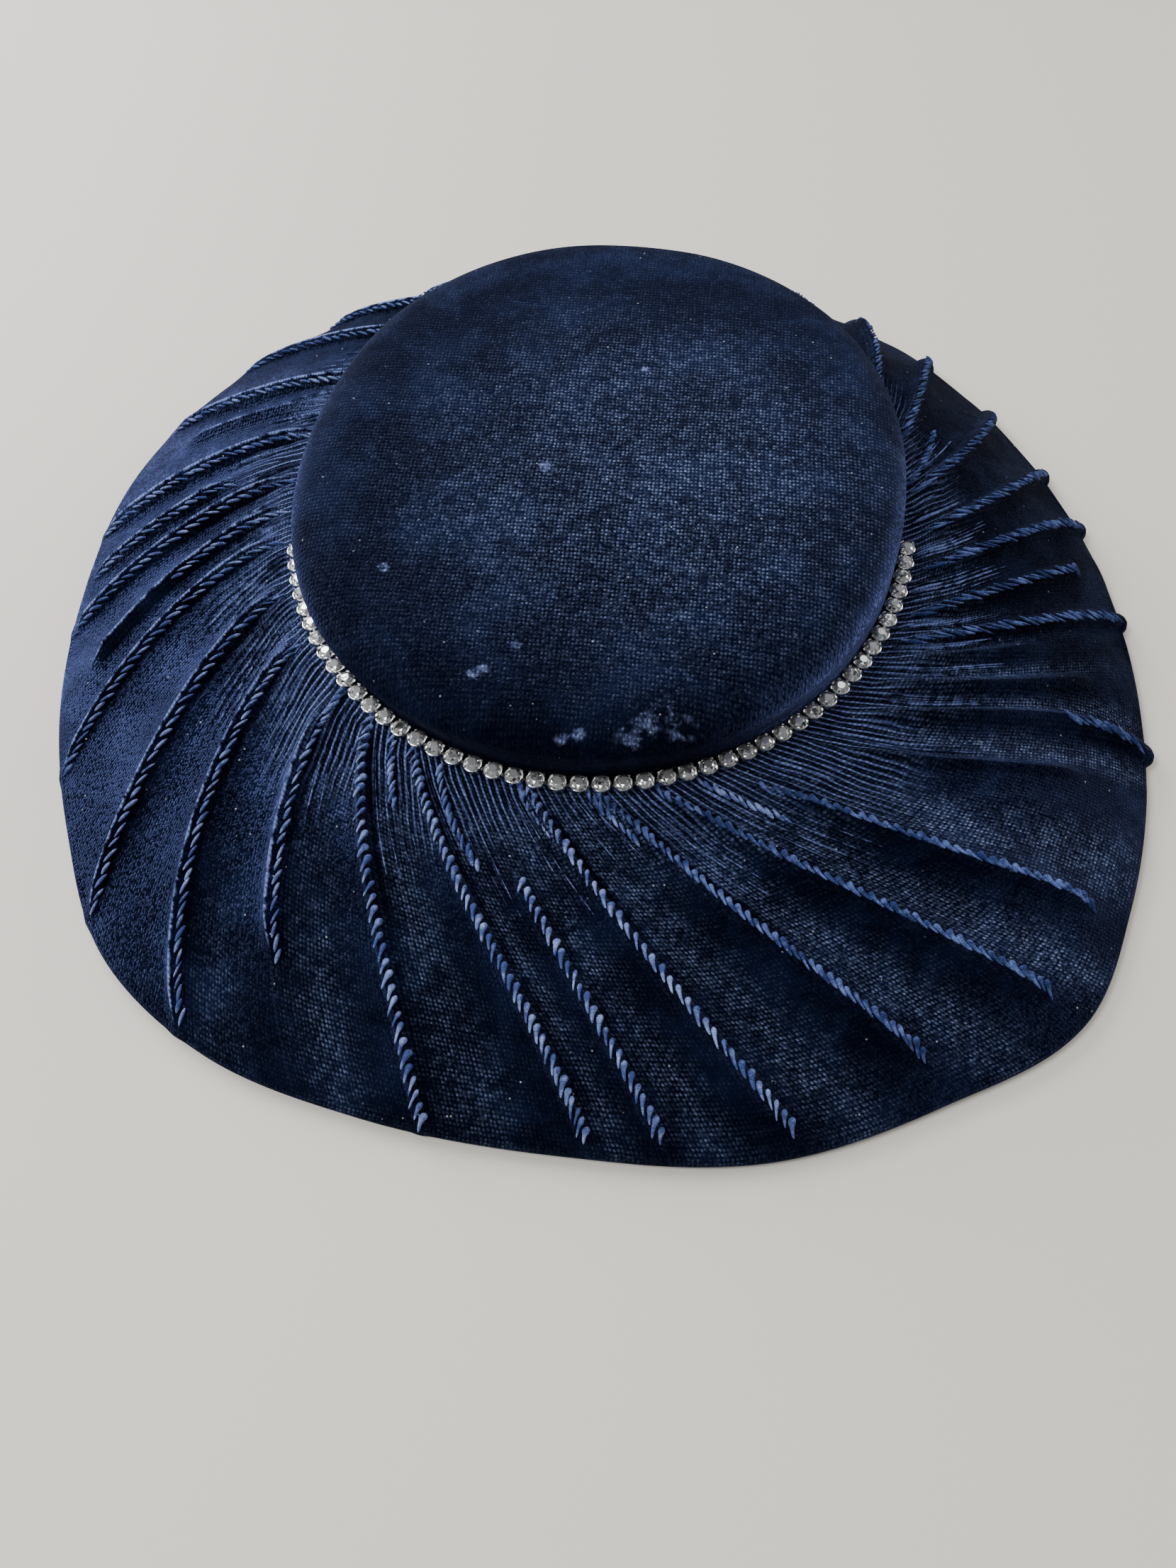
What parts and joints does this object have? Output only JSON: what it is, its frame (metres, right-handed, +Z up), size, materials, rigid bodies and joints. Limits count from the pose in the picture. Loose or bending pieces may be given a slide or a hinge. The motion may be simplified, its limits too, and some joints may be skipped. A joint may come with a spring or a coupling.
{
  "type": "platter hat",
  "caption": "Shallow oval velvet hat with a wide saucer brim of swirled whipped tucks and a rhinestone chain round the front of the crown.",
  "frame": {"origin": "middle of the hat's box on the surface it rests on", "axes": "+Z up, -Y to the wide front of the brim, +X to the wearer's left"},
  "size_m": [0.3264, 0.3354, 0.061],
  "materials": {
    "navy_velvet": "dark navy velvet with a short pile and a blue sheen where it turns away",
    "silver_cups": "bright silver coloured cups, a little tarnished, with clear glass stones"
  },
  "bodies": {
    "root": {"crown": "navy_velvet", "brim": "navy_velvet", "rhinestone_chain": "silver_cups"}
  },
  "joints": []
}
